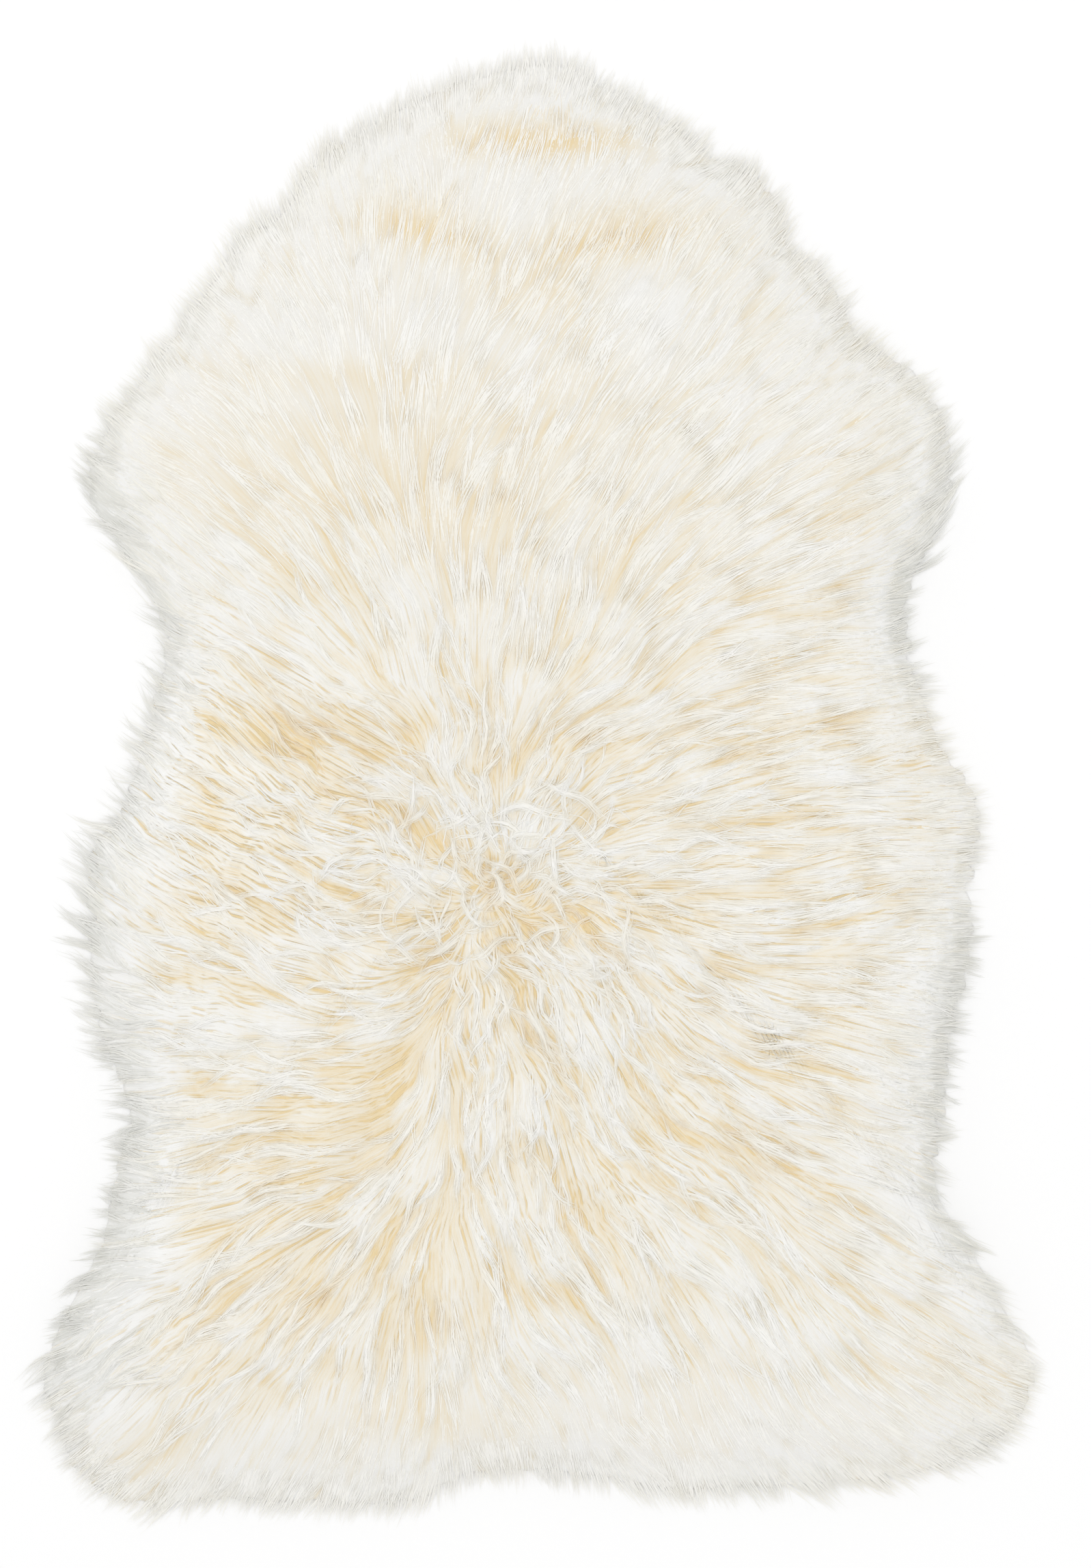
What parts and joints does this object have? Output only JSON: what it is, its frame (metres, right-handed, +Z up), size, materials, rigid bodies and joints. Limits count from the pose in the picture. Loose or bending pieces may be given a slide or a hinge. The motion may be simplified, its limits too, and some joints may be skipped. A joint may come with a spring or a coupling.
{
  "type": "sheepskin rug",
  "caption": "Flat sheepskin rug: tanned hide with a narrow neck, a waist and a flared hind end, under long cream wool combed outwards, with loose locks round its rim.",
  "frame": {"origin": "middle of the rug's box, on the floor that the hide's underside lies on", "axes": "+Y along the rug towards the neck end, +X to the right as seen from above with the neck away, +Z up out of the wool"},
  "size_m": [0.6938, 0.9992, 0.0573],
  "materials": {
    "hide": "matt tanned suede, pale buff",
    "wool": "long combed wool in pointed locks, cream white, golden at the roots"
  },
  "bodies": {
    "root": {"hide": "hide", "fleece": "wool"}
  },
  "joints": []
}
